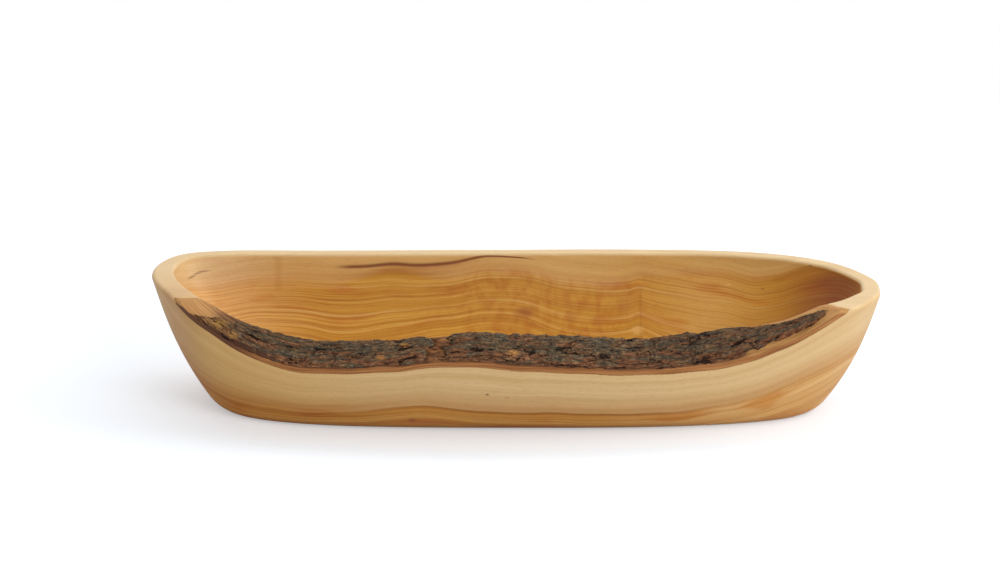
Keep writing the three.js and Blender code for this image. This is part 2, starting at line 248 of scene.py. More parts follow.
def wall_top_rows(outer, inner):
    """Rows across the top of the wall: rounded lips where it is bare, the log's surface where
    that lies lower."""
    rim_level, hollow_level = outside_ring(lip_start)[:, :2], hollow_ring(lip_start)[:, :2]
    across = inner[:, :2] - outer[:, :2]
    span = np.linalg.norm(across, axis=1)
    before = np.linalg.norm(outer[:, :2] - rim_level, axis=1)
    after = np.linalg.norm(inner[:, :2] - hollow_level, axis=1)
    rounding = lip_radius * (1 - np.cos(np.radians([15, 30, 45, 60, 75, 90])))
    places = [np.full(columns, s) for s in rounding]
    places += [lip_radius + (span - 2 * lip_radius) * k / top_rows for k in range(1, top_rows)]
    places += [span - s for s in reversed(rounding)]
    rows = []
    for place in places:
        plan = outer[:, :2] + across * (place / span)[:, None]
        from_edge = np.minimum(place + before, span - place + after)
        short = np.maximum(lip_radius - from_edge, 0)
        lip = lip_start + np.sqrt(np.maximum(lip_radius**2 - short**2, 0))
        rows.append(np.column_stack([plan, np.minimum(lip, log_top(plan))]))
    return rows


def bowl_rows():
    """Rings of points from the middle of the foot, up the outside, over the rim and down the
    hollow to the middle of its floor."""
    level = np.zeros(columns)
    foot_middle = np.column_stack([foot_along + foot_middle_share * foot_length * cosines, level])
    foot_ring = outside_ring(0, foot_edge_radius)[:, :2]
    rows = []
    for k in range(foot_rows + 1):
        plan = foot_middle + (foot_ring - foot_middle) * k / foot_rows
        rows.append(np.column_stack([plan, level]))
    for k in range(1, edge_rows + 1):
        turn = math.radians(90 * (1 - k / edge_rows))
        inset = foot_edge_radius * (1 - math.cos(turn))
        rows.append(outside_ring(foot_edge_radius * (1 - math.sin(turn)), inset))
    outer_top = leaves_log(outside_ring, foot_edge_radius, lip_start)
    inner_top = leaves_log(hollow_ring, floor_thickness, lip_start)
    rise = outer_top - foot_edge_radius
    rows += [outside_ring(foot_edge_radius + rise * k / wall_rows) for k in range(1, wall_rows + 1)]
    rows += wall_top_rows(rows[-1], hollow_ring(inner_top))
    depth = inner_top - floor_thickness
    for k in range(hollow_rows + 1):
        rows.append(hollow_ring(floor_thickness + depth * (1 - k / hollow_rows) ** 2))
    floor_middle = np.column_stack([foot_along + floor_middle_share * floor_length * cosines, level])
    for k in range(1, floor_rows + 1):
        plan = hollow_floor + (floor_middle - hollow_floor) * k / floor_rows
        rows.append(np.column_stack([plan, np.full(columns, floor_thickness)]))
    return np.array(rows)


def closed_grid(rows, weld):
    """Faces through rings of points: a grid with its two long edges joined."""
    bm = bmesh.new()
    around, last = len(rows[0]), len(rows) - 1
    bmesh.ops.create_grid(bm, x_segments=around, y_segments=last, size=1)
    for vert in bm.verts:
        column = round((vert.co.x + 1) / 2 * around) % around
        vert.co = Vector(rows[round((vert.co.y + 1) / 2 * last)][column]) * mm
    bmesh.ops.remove_doubles(bm, verts=bm.verts, dist=weld * mm)
    return bm


def smooth_mesh(bm, name):
    mesh = bpy.data.meshes.new(name)
    bm.to_mesh(mesh)
    bm.free()
    mesh.shade_smooth()
    return mesh


def turn_outwards(bm):
    """Turns the faces of a closed mesh outwards."""
    bmesh.ops.recalc_face_normals(bm, faces=bm.faces)
    if bm.calc_volume(signed=True) < 0:
        bmesh.ops.reverse_faces(bm, faces=bm.faces)


def close_up(mesh):
    """Joins corners that touch, takes out faces folded onto each other, and turns every face
    outwards."""
    bm = bmesh.new()
    bm.from_mesh(mesh)
    bmesh.ops.triangulate(bm, faces=bm.faces)
    bmesh.ops.remove_doubles(bm, verts=bm.verts, dist=fold_weld * mm)
    alone, folded = {}, []
    for face in bm.faces:
        corners = frozenset(face.verts)
        if corners in alone:
            folded += [face, alone.pop(corners)]
        else:
            alone[corners] = face
    bmesh.ops.delete(bm, geom=folded, context="FACES")
    turn_outwards(bm)
    bm.to_mesh(mesh)
    bm.free()


def add_piece(name, mesh, material, nodes):
    """Puts a finished mesh in the scene in place of its CAD nodes."""
    piece = bpy.data.objects.new(name, mesh)
    bpy.context.scene.collection.objects.link(piece)
    mesh.materials.clear()
    mesh.materials.append(material)
    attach(piece, "root")
    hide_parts(*nodes)


def points_of(mesh):
    flat = np.empty(len(mesh.vertices) * 3, np.float32)
    mesh.vertices.foreach_get("co", flat)
    return flat.reshape(-1, 3).astype(float) / mm


def set_attributes(mesh, **attributes):
    for name, values in attributes.items():
        stored = mesh.attributes.new(name, "FLOAT", "POINT")
        stored.data.foreach_set("value", values.astype(np.float32))


def heartwood_depth(points):
    """How far inside the heartwood's border points lie (less than 0 in the sapwood), with the
    rings followed on each side, and how much of the near side's figure they take."""
    tilt, over = log_place(points)
    x, depth = points[:, 0], -over
    near, far = spline(near_rings, 8), spline(far_rings, 8)
    border, further = (np.interp(x, near[:, 0], near[:, k]) for k in (1, 2))
    near_depth = depth - border
    near_depth *= np.where(near_depth < 0, near_sapwood / border, near_next_ring / (further - border))
    border, further = (np.interp(x, far[:, 0], far[:, k]) for k in (1, 2))
    far_depth = depth - border
    far_depth *= np.where(far_depth < 0, 1, far_next_ring / (further - border))
    near_share = eased(tilt, near_from_tilt, near_to_tilt)
    return far_depth + (near_depth - far_depth) * near_share, near_share


def paint(red, green, blue):
    """A colour as it looks on a screen, 0 to 255, for a shader's socket."""
    def linear(value):
        share = value / 255
        return share / 12.92 if share <= 0.04045 else ((share + 0.055) / 1.055) ** 2.4
    return (linear(red), linear(green), linear(blue), 1)


class Nodes:
    """Puts nodes into a shader tree."""

    def __init__(self, tree):
        self.tree = tree

    def put(self, socket, value):
        """Links or sets a socket. Three numbers are a colour as it looks on a screen, 0 to 255."""
        if isinstance(value, bpy.types.NodeSocket):
            self.tree.links.new(value, socket)
        else:
            is_paint = isinstance(value, tuple) and len(value) == 3
            socket.default_value = paint(*value) if is_paint else value

    def node(self, kind, inputs, **settings):
        node = self.tree.nodes.new("ShaderNode" + kind)
        for key, value in settings.items():
            setattr(node, key, value)
        for key, value in inputs.items():
            self.put(node.inputs[key], value)
        return node

    def math(self, operation, *values):
        return self.node("Math", dict(enumerate(values)), operation=operation).outputs[0]


class Finish(Nodes):
    """A finish built up node by node. Its methods give back output sockets."""

    def __init__(self, name):
        self.material = bpy.data.materials.new(name)
        self.material.use_nodes = True
        super().__init__(self.material.node_tree)
        self.shader = self.tree.nodes["Principled BSDF"]
        split = self.node("SeparateXYZ", {0: self.node("TexCoord", {}).outputs["Object"]})
        self.x, self.y, self.z = (self.math("MULTIPLY", out, 1 / mm) for out in split.outputs)

    def set(self, **inputs):
        for key, value in inputs.items():
            self.put(self.shader.inputs[key.replace("_", " ")], value)

    def attribute(self, name):
        return self.node("Attribute", {}, attribute_name=name).outputs["Fac"]

    def add(self, *values):
        total = values[0]
        for value in values[1:]:
            total = self.math("ADD", total, value)
        return total

    def times(self, *values):
        total = values[0]
        for value in values[1:]:
            total = self.math("MULTIPLY", total, value)
        return total

    def flip(self, value):
        return self.math("SUBTRACT", 1, value)

    def place(self, x, y, z, size):
        """A place for a pattern whose features are size long in each direction."""
        parts = [self.times(part, 1 / s) if s else 0 for part, s in zip((x, y, z), size)]
        return self.node("CombineXYZ", dict(enumerate(parts))).outputs[0]

    def noise(self, place, detail=2, roughness=0.5, distortion=0.0):
        inputs = {"Vector": place, "Scale": 1, "Detail": detail, "Roughness": roughness}
        return self.node("TexNoise", {**inputs, "Distortion": distortion}).outputs["Fac"]

    def step(self, value, low, high, start=0.0, end=1.0):
        """Start below low, end above high, eased between them."""
        inputs = {"Value": value, "From Min": low, "From Max": high, "To Min": start, "To Max": end}
        return self.node("MapRange", inputs, interpolation_type="SMOOTHSTEP").outputs["Result"]

    def between(self, value, low, high, soft):
        rises = self.step(value, low - soft, low + soft)
        return self.times(rises, self.step(value, high - soft, high + soft, 1, 0))

    def line(self, value, at, wide):
        """1 where value is at a ring, falling to 0 at wide to either side."""
        return self.step(self.math("ABSOLUTE", self.add(value, -at)), 0, wide, 1, 0)

    def mix(self, share, first, second, blend="MIX"):
        node = self.node("Mix", {0: share, 6: first, 7: second}, data_type="RGBA", blend_type=blend)
        return node.outputs[2]

    def shades(self, value, stops, *colours):
        """A colour that goes through the colours, reaching each at its stop, as value rises."""
        node = self.node("ValToRGB", {0: value})
        ramp = node.color_ramp
        while len(ramp.elements) < len(stops):
            ramp.elements.new(0.5)
        for element, stop, colour in zip(ramp.elements, stops, colours):
            element.position, element.color = stop, paint(*colour)
        return node.outputs["Color"]

    def darken(self, colour, shade, *shares):
        """Multiplies a colour by a plain shade, as far as the product of the shares says."""
        return self.mix(self.times(*shares), colour, shade, "MULTIPLY")

    def spot(self, at, size):
        """1 at a point of the object, falling to 0 at size from it in each direction."""
        gaps = [self.add(part, -middle) for part, middle in zip((self.x, self.y, self.z), at)]
        away = self.node("VectorMath", {0: self.place(*gaps, size)}, operation="LENGTH")
        return self.step(away.outputs["Value"], 0.1, 1, 1, 0)

    def bump(self, height, distance, strength):
        inputs = {"Height": height, "Distance": distance * mm, "Strength": strength}
        return self.node("Bump", inputs).outputs["Normal"]


# Small marks in the wood: middle, reach each way, colour, and how strongly it shows
wood_marks = [
    ((3, 50, 28), (30, 16, 8), (178, 110, 30), 0.3),
    ((6, 52, 33.5), (9, 7, 4.6), (150, 82, 28), 0.68),
    ((31, 51, 30.5), (6, 6, 6), (170, 104, 38), 0.42),
    ((45, 48.5, 30), (6, 6, 5), (168, 100, 36), 0.45),
    ((60, 54, 38), (8, 8, 9), (176, 112, 42), 0.4),
    ((66, 45.5, 25.5), (5, 6, 3), (226, 176, 106), 0.6),
    ((157.9, 46.4, 61.4), (2, 4, 0.8), (112, 76, 42), 0.6),
    ((115, 56, 47.8), (2.6, 4, 1), (232, 188, 118), 0.4),
    ((133, 51.2, 47), (1.4, 3, 0.8), (110, 70, 36), 0.6),
    ((-171, 49, 53.6), (5, 6, 0.7), (96, 46, 14), 0.75),
    ((-168.3, 52, 54.4), (4.5, 6, 0.6), (92, 44, 14), 0.75),
    ((-165.5, 55, 55), (6, 6, 0.6), (100, 50, 18), 0.7),
    ((-66, 60, 54.5), (15, 9, 0.7), (166, 92, 40), 0.6),
    ((-13, -60.4, 25.1), (1.3, 3, 1.1), (88, 60, 38), 0.75),
    ((-2.9, -59.5, 23.2), (2, 3, 0.9), (150, 106, 66), 0.35),
    ((-51.4, -49.1, 7.4), (3.4, 4, 2.2), (134, 66, 36), 0.75),
    ((-46, -48.4, 6.6), (20, 6, 3.4), (190, 104, 66), 0.45),
]


def olive_wood():
    wood = Finish("oiled_olive_wood")
    x, y, z = wood.x, wood.y, wood.z
    near, far = wood.attribute("near_side"), wood.flip(wood.attribute("near_side"))
    wander = wood.add(wood.noise(wood.place(x, y, z, (95, 45, 45)), 1), -0.5)
    heart = wood.add(wood.attribute("heartwood"), wood.times(wander, 1.2))
    bands = wood.noise(wood.place(x, heart, near, (230, 4.6, 1.2)))
    lines = wood.noise(wood.place(x, heart, near, (150, 0.95, 1.2)))
    faint = wood.noise(wood.place(x, heart, near, (60, 0.5, 1.2)))
    fibre = wood.noise(wood.place(x, y, z, (6, 0.5, 0.5)), 3, 0.6)
    blush = wood.noise(wood.place(x, heart, near, (38, 9, 1.2)))
    figure = wood.noise(wood.place(x, heart, near, (5.5, 9, 2)))

    # Plain colours: pale sapwood, and heartwood that is golden inside and redder outside
    stops = (0.3, 0.5, 0.7)
    sapwood = wood.shades(bands, (0.3, 0.7), (213, 175, 119), (228, 195, 143))
    golden = wood.shades(bands, stops, (186, 130, 34), (198, 142, 42), (210, 158, 60))
    ruddy = wood.shades(bands, stops, (188, 126, 50), (203, 144, 64), (214, 160, 82))
    paler = wood.shades(bands, stops, (207, 155, 89), (220, 172, 108), (231, 189, 128))
    ruddy = wood.mix(wood.step(x, 30, 130), ruddy, paler)
    golden = wood.mix(wood.step(x, -96, -165, 0, 0.75), golden, (224, 174, 112))
    golden = wood.mix(wood.times(wood.between(x, 84, 124, 22), 0.6), golden, (216, 166, 92))
    heartwood = wood.mix(near, golden, ruddy)
    heartwood = wood.darken(heartwood, (241, 214, 170), wood.step(blush, 0.52, 0.72))

    # The heartwood's border, soft inside the hollow and sharp outside, the tints beside it, and painted
    # shade at the hollow's right end
    border_rise = wood.add(wood.times(wood.between(x, -80, -46, 18), 6), wood.step(x, 40, 128, 0, 15))
    inside = wood.times(far, wood.step(z, 62.4, 60.8))
    soft_border = wood.step(wood.add(heart, wood.times(border_rise, inside)), -7, 1)
    left_low = wood.step(x, -50, -105)
    sharp_border = wood.mix(left_low, wood.step(heart, -0.5, 0.7), wood.step(heart, -10, 5))
    border = wood.add(wood.times(soft_border, far), wood.times(sharp_border, near))
    colour = wood.mix(border, sapwood, heartwood)
    tinge = wood.times(wood.step(heart, -12, -1), wood.flip(border))
    colour = wood.darken(colour, (238, 216, 194), tinge, 0.7)
    yellow = wood.times(wood.step(heart, -26, -12), wood.flip(border), inside, wood.step(x, -155, -110))
    colour = wood.darken(colour, (252, 244, 214), yellow)
    amber = wood.times(wood.step(x, 10, 90), wood.flip(border), inside)
    colour = wood.darken(colour, (242, 231, 196), amber)
    # Darker, redder wood and painted shade at the right end of the hollow
    right_end_tone_and_shade = wood.times(wood.step(x, 128, 172), wood.step(heart, -24, -4), inside)
    colour = wood.darken(colour, (197, 152, 94), right_end_tone_and_shade)
    left_front = wood.times(near, wood.step(x, -50, -150))
    colour = wood.darken(colour, (255, 246, 220), left_front)
    left_end = wood.times(near, wood.step(x, -152, -176))
    colour = wood.darken(colour, (236, 220, 204), left_end)

    # Ring lines, cross figure, fibres and pores
    strength = wood.add(wood.times(border, 0.62), 0.16)
    left_rings = wood.times(wood.between(x, -168, -84, 14), inside)
    left_rings = wood.add(left_rings, wood.times(near, left_low))
    strength = wood.add(strength, wood.times(left_rings, wood.step(heart, -18, -3), 0.28))
    dark_lines = wood.add(wood.step(lines, 0.5, 0.62), wood.times(wood.step(faint, 0.48, 0.66), 0.6))
    colour = wood.darken(colour, (214, 184, 142), dark_lines, strength, 0.52)
    glow = wood.times(wood.step(lines, 0.45, 0.34), strength)
    calm = wood.step(x, 95, 150, 1, 0.3)
    colour = wood.mix(wood.times(glow, calm, 0.24), colour, (230, 186, 104))
    ripples = wood.times(wood.step(figure, 0.42, 0.64), border, far)
    colour = wood.darken(colour, (243, 224, 184), ripples, wood.between(x, -30, 70, 25))
    colour = wood.darken(colour, (226, 208, 182), wood.step(fibre, 0.5, 0.75), 0.3)
    pores = wood.noise(wood.place(x, y, z, (3.6, 0.3, 0.3)), 1)
    colour = wood.darken(colour, (212, 184, 146), wood.step(pores, 0.6, 0.74), 0.36)

    # Single rings that stand out, the dark streak at the back, a painted sheen on the rim top and small
    # marks
    border_line = wood.times(wood.line(heart, 0.5, 1.1), near, wood.step(x, 70, 130, 1, 0.35))
    border_line = wood.times(border_line, wood.flip(left_low))
    colour = wood.darken(colour, (186, 144, 100), border_line, 0.6)
    bright = wood.add(wood.line(heart, 0.4, 1.1), wood.line(heart, 14, 1.5), wood.line(heart, 21.6, 1))
    bright = wood.times(bright, far, calm, wood.step(faint, 0.6, 0.44, 0.25, 1))
    right_front = wood.times(wood.line(heart, 13, 0.9), near, wood.step(x, 95, 125))
    uneven = wood.step(blush, 0.35, 0.6, 0.16, 0.46)
    colour = wood.mix(wood.times(wood.add(bright, right_front), uneven), colour, (236, 196, 118))
    halo = wood.times(wood.line(heart, -8.6, 3.4), far, wood.between(x, -62, -22, 16))
    colour = wood.darken(colour, (206, 150, 100), halo, 0.42)
    thick = wood.step(x, -48, 8, 1.6, 0.55)
    streak = wood.times(wood.step(wood.math("ABSOLUTE", wood.add(heart, 10)), thick, 0.1), far)
    streak = wood.times(streak, wood.between(x, -92, 8, 6))
    colour = wood.mix(wood.times(streak, 0.92), colour, (116, 55, 12))
    seam = wood.times(wood.line(x, 68.1, 1.2), far, wood.step(heart, -4, 8))
    colour = wood.darken(colour, (180, 130, 84), seam, 0.22)
    left_band = wood.times(wood.line(x, -126, 3.4), inside, wood.step(heart, 6, 0))
    colour = wood.darken(colour, (220, 186, 140), left_band, 0.3)
    # Painted sheen: the top of the rim is paled towards cream, as if lit by a reflection
    rim_painted_sheen = wood.step(z, 61.4, 62.7, 0, 0.22)
    colour = wood.mix(rim_painted_sheen, colour, (243, 222, 178))
    for at, size, shade, share in wood_marks:
        colour = wood.mix(wood.times(wood.spot(at, size), share), colour, shade)

    wood.set(Base_Color=colour, Roughness=0.44, Specular_IOR_Level=0.32)
    grain = wood.add(wood.times(lines, 0.5), fibre)
    wood.set(Normal=wood.bump(grain, 0.04, 0.5))
    return wood.material


bowl_faces = closed_grid(bowl_rows(), seam_weld)
turn_outwards(bowl_faces)
bowl_mesh = smooth_mesh(bowl_faces, "bowl_body_carved")
heartwood, near_side = heartwood_depth(points_of(bowl_mesh))
set_attributes(bowl_mesh, heartwood=heartwood, near_side=near_side)
add_piece("bowl_body_carved", bowl_mesh, olive_wood(), ["bowl_body"])

# Inner bark, the bast: a thin fibrous layer between wood and crust. The cuts leave its smooth
# edge as a reddish band on the outside, and at both ends of the live edge it lies bare.

bast_voxel, cad_weld = 0.46, 0.001
band_spread = 20.0
fissure_gap = 0.16
# How far a fissure's line strays, where it parts two plates and where crust has crumbled away
seam_wander, seam_crumble = 2.6, 4.4
flake_closing = {"flake_start": 1.2, "flake_end": -1.2}
# What lies this near a carved wall is set on it, and what lies this low sinks this far into the wood
flush_within, sunk_below, sink = 0.5, 0.8, 0.12
fibre_height, flake_lift, flake_height = 0.4, 1.4, 0.8

# Fissures as shares of half length: at the outside wall, half way, and at the hollow
fissures = {
    "left_tip": (-0.83, -0.862, -0.875),
    "left": (-0.779, -0.752, -0.767),
    "left_middle": (-0.505, -0.47, -0.474),
    "flake_start": (-0.262, -0.234, -0.25),
    "flake_end": (-0.158, -0.172, -0.155),
    "middle": (0.115, 0.09, 0.06),
    "right_middle": (0.33, 0.362, 0.342),
    "right": (0.481, 0.482, 0.525),
    "strip_end": (0.64, 0.625, 0.63),
    "right_tip": (0.8, 0.835, 0.845),
}


def wall_tree(rows):
    """A search tree over one of the two carved walls."""
    bm = closed_grid(rows, seam_weld)
    tree = BVHTree.FromBMesh(bm)
    bm.free()
    return tree


def wall_levels(low, count):
    return [low + (lip_start - low) * k / count for k in range(count + 1)]


outside_tree = wall_tree([outside_ring(z) for z in wall_levels(foot_edge_radius, 30)])
hollow_tree = wall_tree([hollow_ring(z) for z in wall_levels(20.0, 30)])


def remeshed(node, voxel):
    """A fine even mesh over a CAD node's solid."""
    source = bpy.data.objects.new(node + "_source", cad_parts[node].data.copy())
    bpy.context.scene.collection.objects.link(source)
    bm = bmesh.new()
    bm.from_mesh(source.data)
    bmesh.ops.remove_doubles(bm, verts=bm.verts, dist=cad_weld * mm)
    bm.to_mesh(source.data)
    bm.free()
    remesh = source.modifiers.new("even", "REMESH")
    remesh.mode, remesh.voxel_size = "VOXEL", voxel * mm
    bpy.context.view_layer.update()
    finished = source.evaluated_get(bpy.context.evaluated_depsgraph_get())
    mesh = bpy.data.meshes.new_from_object(finished)
    mesh.name = node + "_fine"
    bpy.data.objects.remove(source)
    mesh.shade_smooth()
    return mesh


def nearest(points, tree):
    """Nearest place on a wall for each point, and how far away it is."""
    places = np.empty((len(points), 3))
    gaps = np.empty(len(points))
    for i, point in enumerate(points):
        place, _, _, gap = tree.find_nearest(Vector(point) * mm)
        places[i] = np.array(place) / mm
        gaps[i] = gap / mm
    return places, gaps


def outward(points):
    """Direction out of the log at each point."""
    pith_y, pith_z = pith(points[:, 0])
    arms = np.column_stack([np.zeros(len(points)), points[:, 1] - pith_y, points[:, 2] - pith_z])
    return arms / np.linalg.norm(arms, axis=1)[:, None]


def fractal(x, y, z, octaves):
    return np.array([noise.fractal(Vector(place), 1.0, 2.0, octaves) for place in zip(x, y, z)])


def keep_in_box(points):
    low, high = (np.array(corner) / mm for corner in cad_box)
    return np.clip(points, low, high)


def set_points(mesh, points):
    mesh.vertices.foreach_set("co", (keep_in_box(points) * mm).astype(np.float32).ravel())
    mesh.update()


def fissure_at(name, across):
    """Place of a fissure along the log, for a share of the way across the band."""
    outer, half, inner = (share * half_length for share in fissures[name])
    bend = 2 * (outer + inner - 2 * half)
    return outer + (inner - outer) * across + bend * across * (across - 1)


def ragged(x, seed, size):
    """A crumbled line's offset, about -1 to 1, for places along it."""
    still = x.ravel() * 0
    return fractal(x.ravel() / size, still + seed, still, 4).reshape(x.shape) * 1.6


def lean_at(x):
    return np.interp(x, edge_line[:, 0], edge_line[:, 3])


def seam_place(name, tilt, x, wander):
    """Place along the log of a fissure's crumbled line, at a tilt."""
    across = (lean_at(x) + band_spread - tilt) / (2 * band_spread)
    seam = ragged(across * 40, 2.0, 5) + 0.45 * ragged(across * 40, 7.0, 1.3)
    return fissure_at(name, across) + seam * wander + flake_closing.get(name, 0)


def bast():
    bark = Finish("inner_bark_bast")
    x = bark.x
    across, over = bark.attribute("across"), bark.attribute("over")
    cut = bark.attribute("cut")
    streaks = bark.noise(bark.place(x, across, over, (13, 1.0, 0.7)), 4, 0.6, 0.3)
    stops = (0.3, 0.45, 0.6, 0.75)
    plain = bark.shades(streaks, stops, (78, 50, 34), (116, 76, 48), (146, 102, 64), (184, 138, 88))
    rubbed = bark.shades(
        streaks, stops, (164, 112, 62), (184, 133, 78), (198, 147, 88), (210, 162, 104))
    ends = bark.add(bark.step(x, -146, -158), bark.step(x, 108, 124))
    colour = bark.mix(ends, plain, rubbed)
    scales = bark.noise(bark.place(x, across, over, (5, 1.1, 1)), 5, 0.65, 0.4)
    scales = bark.shades(
        scales, (0.3, 0.45, 0.6, 0.74), (54, 35, 24), (104, 66, 40), (160, 104, 58), (204, 148, 88))
    colour = bark.mix(bark.times(bark.attribute("flaked"), 0.9), colour, scales)
    layers = bark.noise(bark.place(x, across, over, (30, 4, 0.45)))
    band = bark.shades(layers, (0.3, 0.5, 0.7), (134, 82, 47), (167, 109, 60), (190, 136, 83))
    skin = bark.step(over, 0.9, 0.3, 0, 0.6)
    band = bark.mix(skin, band, (186, 140, 92))
    colour = bark.mix(cut, colour, band)
    # Painted shade: the cut band is darkened towards the left end, where it lies in shadow
    left = bark.times(cut, bark.step(x, -126, -146))
    colour = bark.mix(bark.times(left, 0.85), colour, (88, 54, 40))
    bark.set(Base_Color=colour, Roughness=0.7, Specular_IOR_Level=0.25)
    bark.set(Normal=bark.bump(streaks, 0.12, 0.6))
    return bark.material


def across_log(x, tilt):
    """Distance over the log's surface from the middle of the bark band."""
    return np.radians(tilt - lean_at(x)) * log_radius


bast_mesh = remeshed("inner_bark", bast_voxel)
points = points_of(bast_mesh)
tilt, over = log_place(points)
across = across_log(points[:, 0], tilt)
wall_place, from_outside = nearest(points, outside_tree)
_, from_hollow = nearest(points, hollow_tree)
points = np.where((from_outside < flush_within)[:, None], wall_place, points)
sunk = np.where(over < sunk_below, over - sink, 0)
points -= outward(points) * sunk[:, None]
from_cut = np.minimum(from_outside, from_hollow)
cut = eased(from_cut, 0.8, 0.3)
loose = (1 - eased(from_cut, 1.2, 0.4)) * eased(over, 1.2, 2.2)
along = points[:, 0]
sanded = np.maximum(eased(along, -146, -156), eased(along, 110, 124))
relief = fibre_height * (1 - 0.75 * sanded) * fractal(along / 9, across / 1.2, over * 0, 3)
flake_from = seam_place("flake_start", tilt, along, seam_crumble)
flake_to = seam_place("flake_end", tilt, along, seam_crumble)
flaked = eased(along - flake_from, 0.2, 2.5) * eased(flake_to - along, 0.2, 2.5)
flakes = fractal(along / 4, across / 1.1, over * 0 + 4, 4)
relief += flaked * (flake_lift + flake_height * flakes)
points += outward(points) * (relief * loose)[:, None]
set_points(bast_mesh, points)
set_attributes(bast_mesh, across=across, over=over, cut=cut, flaked=flaked)
close_up(bast_mesh)
add_piece("inner_bark_fine", bast_mesh, bast(), ["inner_bark"])

# Outer bark: the dark grey crust, split into plates by cross fissures, with two low strips outside
# the fissure that runs along the log. Left of the middle a piece has flaked off. It is rough and
# brittle: its lower edge has crumbled back from the sanded wall and shows the bast below it.

crust_from = 2.9
crust_thickness, least_thickness = 3.1, 0.3
crust_grain = 0.32
side_steps, under_points = 5, 6
long_fissure = 0.41
open_ends = ("left_tip", "flake_start", "flake_end", "strip_end", "right_tip")

crust_plates = [
    ("bark_plate_1", "left_tip", "left", "whole"),
    ("bark_plate_2", "left", "left_middle", "whole"),
    ("bark_plate_3", "left_middle", "flake_start", "whole"),
    ("bark_plate_4", "flake_end", "middle", "high"),
    ("bark_plate_5", "middle", "right_middle", "high"),
    ("bark_plate_6", "right_middle", "right", "whole"),
    ("bark_plate_7", "right", "right_tip", "high"),
    ("bark_strip_1", "flake_start", "right_middle", "low"),
    ("bark_strip_2", "right", "strip_end", "low"),
]
# About how far a plate reaches over the log, by how much of the band it takes
plate_spread = {"whole": 15, "high": 9, "low": 7}

# How far the crust still reaches, as shares of the way from the outside wall to the hollow
crust_reach = [
    (-168, 0.0, 0.02), (-160, 0.0, 0.14), (-152, 0.0, 0.5), (-144, 0.0, 0.74), (-136, 0.0, 0.86),
    (-125, 0.01, 0.92), (-112, 0.05, 0.93), (-60, 0.06, 0.945), (-40, 0.08, 0.92),
    (-20, 0.07, 0.945), (20, 0.05, 0.95), (95, 0.06, 0.945), (112, 0.07, 0.93), (121, 0.1, 0.9),
    (130, 0.24, 0.81), (143, 0.22, 0.69), (151, 0.22, 0.57), (160, 0.3, 0.49), (168, 0.36, 0.43),
]
# Knots and rubbed spots on the crust: middle, reach each way, colour
crust_marks = [
    ((-149.2, -40.8, 56.5), (5.5, 5, 3.6), (176, 132, 70)),
    ((-142.2, -47.9, 52.4), (4.6, 5, 3), (170, 124, 66)),
    ((-66.7, -62.9, 45.6), (4, 4, 1.7), (186, 124, 68)),
    ((-54.7, -59.5, 50.8), (3.8, 4, 1.7), (212, 150, 82)),
    ((0.1, -65.9, 49.2), (4.4, 4, 1.9), (214, 152, 84)),
    ((-27, -63, 48), (9, 6, 5.5), (158, 102, 58)),
    ((-50, -61, 47), (6, 6, 4.5), (146, 94, 54)),
    ((-31, -62, 48.5), (4.5, 5, 3), (202, 134, 72)),
    ((118, -56, 49), (5, 5, 1.6), (170, 112, 66)),
]

sections = np.arange(-188, 189, 1.0)
overs = np.arange(0, 10.5, 1.5)
wall_heights = np.arange(16, lip_start + 1, 1.0)


def read_table(table, rows, columns_at, row, column):
    """Reads a table of evenly spaced values between its entries."""
    row = np.clip((row - rows[0]) / (rows[1] - rows[0]), 0, len(rows) - 1.001)
    column = np.clip((column - columns_at[0]) / (columns_at[1] - columns_at[0]), 0, len(columns_at) - 1.001)
    i, j = row.astype(int), column.astype(int)
    upper = table[i, j] + (table[i, j + 1] - table[i, j]) * (column - j)
    lower = table[i + 1, j] + (table[i + 1, j + 1] - table[i + 1, j]) * (column - j)
    return upper + (lower - upper) * (row - i)


def near_wall(ring_at):
    """How far forward the near side of a wall lies, at each height and place along."""
    lines = []
    for z in wall_heights:
        ring = ring_at(z)
        near = ring[np.argmin(ring[:, 0]):]
        lines.append(np.interp(sections, near[:, 0], near[:, 1]))
    return np.array(lines)


def log_point(x, tilt, over):
    """A point over the log's wood, as CAD has it."""
    pith_y, pith_z = pith(x)
    reach = log_radius + ripple(x, tilt) + over
    turn = np.radians(tilt)
    return np.stack([x, pith_y - reach * np.sin(turn), pith_z + reach * np.cos(turn)], axis=-1)


def cut_tilts(wall, inwards):
    """Tilt at which the log's layers meet a wall, for each height over the wood and place along."""
    x = np.broadcast_to(sections, (len(overs), len(sections)))
    over = np.broadcast_to(overs[:, None], x.shape)
    kept, cut = lean_at(x), lean_at(x) - 34 * inwards
    for _ in range(20):
        middle = (kept + cut) / 2
        point = log_point(x, middle, over)
        gap = point[..., 1] - read_table(wall, wall_heights, sections, point[..., 2], x)
        inside = gap * inwards < 0
        kept, cut = np.where(inside, middle, kept), np.where(inside, cut, middle)
    return kept


outside_tilts = cut_tilts(near_wall(outside_ring), -1)
hollow_tilts = cut_tilts(near_wall(hollow_ring), 1)


def terraces(value, levels):
    """Turns a smooth field into levels with short slopes between them, as flaking bark has."""
    steps = value * levels
    whole = np.floor(steps)
    return (whole + eased(steps - whole, 0.35, 0.65)) / levels


def crust_relief(x, across):
    """Height of the crust's surface over its mean: flaked layers, long cracks and grit."""
    still = x * 0
    layers = terraces(fractal(x / 17, across / 3, still + 1, 3), 3.5)
    thin_layers = terraces(fractal(x / 6, across / 1.3, still + 13, 3), 3)
    cracks = 1 - np.abs(fractal(x / 19, across / 2.6, still + 5, 3)) * 7
    breaks = 1 - np.abs(fractal(x / 2.6, across / 5, still + 17, 2)) * 6
    grit = fractal(x / 1.3, across / 0.6, still + 9, 3)
    cut_in = 0.95 * np.clip(cracks, 0, 1) ** 2 + 0.3 * np.clip(breaks, 0, 1) ** 2
    return 1.1 * layers + 0.5 * thin_layers - cut_in + 0.26 * grit


